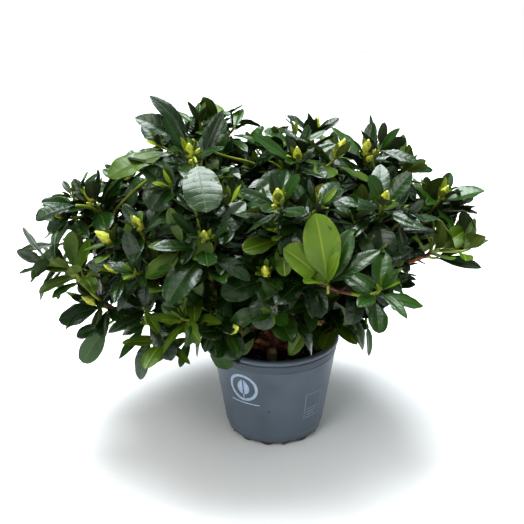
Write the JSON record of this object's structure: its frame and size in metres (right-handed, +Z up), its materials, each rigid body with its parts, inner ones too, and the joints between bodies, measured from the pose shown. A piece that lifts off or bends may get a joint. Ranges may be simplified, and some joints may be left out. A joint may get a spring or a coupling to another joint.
{
  "type": "potted azalea shrub",
  "caption": "Low, broad young azalea shrub with a short forked stem and a rounded crown of leathery leaves, in a round tapered plastic nursery pot.",
  "frame": {"origin": "middle of the pot's flat underside, on the surface that the pot stands on", "axes": "+Z up along the pot's axis, +X to the plant's right as seen from its front, -Y out of its front"},
  "size_m": [0.407, 0.3522, 0.3222],
  "materials": {
    "pot_plastic": "satin",
    "pot_print": "matte",
    "peat": "matte",
    "perlite": "matte",
    "bark": "matte",
    "green_stem": "satin",
    "leaf_dark": "satin",
    "leaf_young": "satin",
    "bud": "satin"
  },
  "bodies": {
    "root": {"bough_back": "bark", "bough_back_left": "bark", "bough_back_right": "bark", "bough_leader": "bark", "bough_left": "bark", "bough_left_back": "bark", "bough_left_front": "bark", "bough_right": "bark", "bough_right_back": "bark", "bough_rim_left": "bark", "bough_rim_right": "bark", "bough_upper_back_left": "bark", "bough_upper_back_right": "bark", "bough_upper_front_left": "bark", "bough_upper_front_right": "bark", "bough_upper_left": "bark", "bough_upper_right": "bark", "leaves_back_left": "leaf_dark", "leaves_back_left_low": "leaf_dark", "leaves_back_low": "leaf_dark", "leaves_back_middle": "leaf_dark", "leaves_back_right": "leaf_dark", "leaves_back_right_low": "leaf_dark", "leaves_back_top": "leaf_dark", "leaves_front_left": "leaf_dark", "leaves_front_left_low": "leaf_dark", "leaves_front_low": "leaf_dark", "leaves_front_middle": "leaf_dark", "leaves_front_right": "leaf_young", "leaves_left_back_low": "leaf_dark", "leaves_left_back_shoulder": "leaf_dark", "leaves_left_front": "leaf_dark", "leaves_left_front_low": "leaf_dark", "leaves_left_low": "leaf_dark", "leaves_left_tip": "leaf_young", "leaves_left_upper": "leaf_dark", "leaves_right_back_low": "leaf_dark", "leaves_right_front": "leaf_dark", "leaves_right_low": "leaf_dark", "leaves_right_shoulder": "leaf_dark", "leaves_right_tip": "leaf_young", "leaves_right_upper": "leaf_dark", "leaves_rim_left": "leaf_dark", "leaves_rim_right": "leaf_dark", "leaves_top_left": "leaf_dark", "leaves_top_left_back": "leaf_dark", "leaves_top_middle": "leaf_dark", "leaves_top_right": "leaf_dark", "leaves_top_right_end": "leaf_dark", "pot": "pot_plastic", "soil": "peat", "stub_front": "bark", "trunk": "bark"}
  },
  "joints": []
}
